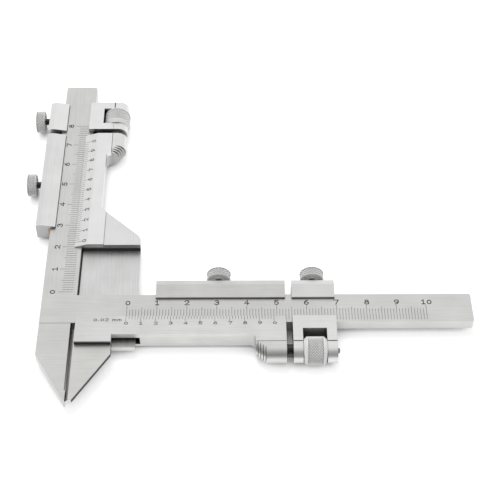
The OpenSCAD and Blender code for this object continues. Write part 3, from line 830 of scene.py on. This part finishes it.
# Main scale of the thickness beam. Most of its numbers stand right over their lines
TICK_NEAR = -12.0
TICK_FAR = (-7.62, -6.85, -6.1)
DIGIT_BASE = -5.7
DIGIT_SHIFT = 0.25
DIGITS_NOT_SHIFTED = range(1, 8)
MAIN_DIGITS = {"height": 1.75, "width": 1.6, "gap": 0.35, "stroke": 0.34}
lines, digits = Marks(frame_level), Marks(frame_level)
for i in range(101):
    lines.line(i, TICK_NEAR, i, reach(i, TICK_FAR))
for i in range(11):
    s = 10 * i + (0 if i in DIGITS_NOT_SHIFTED else DIGIT_SHIFT)
    digits.write(str(i), lambda u, v, s=s: (s + u, DIGIT_BASE + v), **MAIN_DIGITS)
lines.build("thickness_scale_lines", on_tool, "frame")
digits.build("thickness_scale_digits", on_tool, "frame")

# Main scale of the height beam, turned by a quarter
HEIGHT_TICK_NEAR = -18.5
HEIGHT_TICK_FAR = (-22.1, -22.75, -23.7)
HEIGHT_DIGIT_BASE = -24.7
HEIGHT_DIGITS = {"height": 1.65, "width": 1.6, "gap": 0.3, "stroke": 0.34}
lines, digits = Marks(frame_level), Marks(frame_level)
for i in range(81):
    lines.line(HEIGHT_TICK_NEAR, i, reach(i, HEIGHT_TICK_FAR), i)
for i in range(9):
    digits.write(str(i), lambda u, v, s=10 * i: (HEIGHT_DIGIT_BASE - v, s + u), **HEIGHT_DIGITS)
lines.build("height_scale_lines", on_tool, "frame")
digits.build("height_scale_digits", on_tool, "frame")

# Verniers: fifty divisions over forty-nine millimetres, on the bevel of a plate
VERNIER_STEP = 49 / 50
EDGE_Y = -BEAM_W + PLATE_LAP
EDGE_CLEAR = 0.06
VERNIER_DIGITS = {"height": 1.35, "width": 1.25, "gap": 0.2, "stroke": 0.26}
READING_VALUE = "0.02 mm"
READING_VALUE_AT = (-6.0, EDGE_Y - 2.6)
READING_LETTERS = {"height": 1.35, "width": 1.15, "gap": 0.37, "stroke": 0.24}
for side, short, long, digit_base, digit_shift in (
    (THICKNESS, 1.6, 2.85, 4.5, 0.2),
    (HEIGHT, 1.4, 2.4, 3.95, 0),
):
    lines, digits = Marks(plate_level_at), Marks(plate_level_at)
    for i in range(51):
        s = i * VERNIER_STEP
        lines.line(s, EDGE_Y - EDGE_CLEAR, s, EDGE_Y - (short if i % 5 else long))
    for k in range(11):
        s, base = k * 5 * VERNIER_STEP + digit_shift, EDGE_Y - digit_base
        digits.write(str(k % 10), lambda u, v, s=s, base=base: (s + u, base + v),
                     **VERNIER_DIGITS)
    if side is THICKNESS:
        x, y = READING_VALUE_AT
        digits.write(READING_VALUE, lambda u, v: (x + u, y + v), **READING_LETTERS)
    lines.build(side.word + "_vernier_lines", side.place, side.word + "_slider_body")
    digits.build(side.word + "_vernier_digits", side.place, side.word + "_slider_body")


# ---------------------------------------------------------------- floor, light and camera


FLOOR_HALF = 3
FLOOR_GREY = 0.8
FLOOR_SEEN = 0.6
FLOOR_GLOW = 0.62
FLOOR_GLOW_REACH = 12
# Openness of the floor at which its glow starts and is full
FLOOR_GLOW_FADE = (0.08, 0.45)

mesh = bpy.data.meshes.new("floor")
corners = [(x * FLOOR_HALF, y * FLOOR_HALF, 0) for x, y in ((-1, -1), (1, -1), (1, 1), (-1, 1))]
mesh.from_pydata(corners, [], [(0, 1, 2, 3)])
floor = bpy.data.objects.new("floor", mesh)
bpy.context.scene.collection.objects.link(floor)

paper = bpy.data.materials.new("white_paper")
paper.use_nodes = True
nodes = Nodes(paper.node_tree)
nodes.tree.nodes.remove(nodes.tree.nodes["Principled BSDF"])
matt = nodes.node("ShaderNodeBsdfDiffuse")
matt.inputs["Color"].default_value = (FLOOR_GREY, FLOOR_GREY, FLOOR_GREY, 1)
bright = nodes.node("ShaderNodeBsdfDiffuse")
bright.inputs["Color"].default_value = (FLOOR_SEEN, FLOOR_SEEN, FLOOR_SEEN, 1)
glow = nodes.node("ShaderNodeEmission")
# Painted shadow: the glow fades under the tool, so that the floor there and gaps through it stay
# dark
fade = nodes.spread(nodes.openness(FLOOR_GLOW_REACH, samples=8), 0, FLOOR_GLOW, *FLOOR_GLOW_FADE)
nodes.link(fade, glow.inputs["Strength"])
lit = nodes.node("ShaderNodeAddShader")
nodes.link(bright.outputs[0], lit.inputs[0])
nodes.link(glow.outputs[0], lit.inputs[1])
nodes.mixed(nodes.seen_share(), matt, lit, nodes.tree.nodes["Material Output"].inputs["Surface"])
floor.data.materials.append(paper)

SKY_LEVEL = 0.68
SKY_BRIGHT_WAY = (0.1, 0.86, 0.5)
SKY_GLOSS = (0.3, 1.05)
# How nearly a ray faces the bright way at the two levels of gloss
SKY_FACING = (-0.1, 0.85)
world = bpy.data.worlds.new("studio")
world.use_nodes = True
nodes = Nodes(world.node_tree)
nodes.tree.nodes.remove(nodes.tree.nodes["Background"])
sky = nodes.node("ShaderNodeBackground")
sky.inputs["Strength"].default_value = SKY_LEVEL
backdrop = nodes.node("ShaderNodeBackground")
for background in (sky, backdrop):
    background.inputs["Color"].default_value = (1, 1, 1, 1)
# In a gloss the studio is bright behind the tool and dark on the camera's side
way = nodes.node("ShaderNodeTexCoord")
facing = nodes.node("ShaderNodeVectorMath", operation="DOT_PRODUCT")
facing.inputs[1].default_value = SKY_BRIGHT_WAY
nodes.link(way.outputs["Generated"], facing.inputs[0])
level = nodes.spread(facing.outputs["Value"], *SKY_GLOSS, *SKY_FACING)
# The camera itself sees white
ray = nodes.node("ShaderNodeLightPath")
nodes.link(nodes.larger(ray.outputs["Is Camera Ray"], level), backdrop.inputs["Strength"])
nodes.mixed(nodes.seen_share(), sky, backdrop,
            nodes.tree.nodes["World Output"].inputs["Surface"])
bpy.context.scene.world = world

KEY_AT = Vector((-0.16, 0.30, 0.85))
KEY_SIZE = 0.5
KEY_WATTS = 3.4
key_data = bpy.data.lights.new("key", "AREA")
key_data.shape = "DISK"
key_data.size = KEY_SIZE
key_data.energy = KEY_WATTS
key = bpy.data.objects.new("key", key_data)
key.location = KEY_AT
key.rotation_euler = (-KEY_AT).to_track_quat("-Z", "Y").to_euler()
key.visible_glossy = False
bpy.context.scene.collection.objects.link(key)

view = bpy.context.scene
view.view_settings.view_transform = "Standard"

# Place, turn and lens from a least squares fit to the scale marks and edges of the photograph
camera_data = bpy.data.cameras.new("camera")
camera_data.sensor_width = 36
camera_data.lens = 91.3037
camera_data.clip_start = 0.01
camera = bpy.data.objects.new("camera", camera_data)
camera.matrix_world = Matrix((
    (0.99993409, 0.00335653, -0.01097943, -0.0016824),
    (-0.0096746, 0.7612622, -0.64837201, -0.29597022),
    (0.00618194, 0.6484355, 0.7612445, 0.34134998),
    (0, 0, 0, 1),
))
view.collection.objects.link(camera)
view.camera = camera
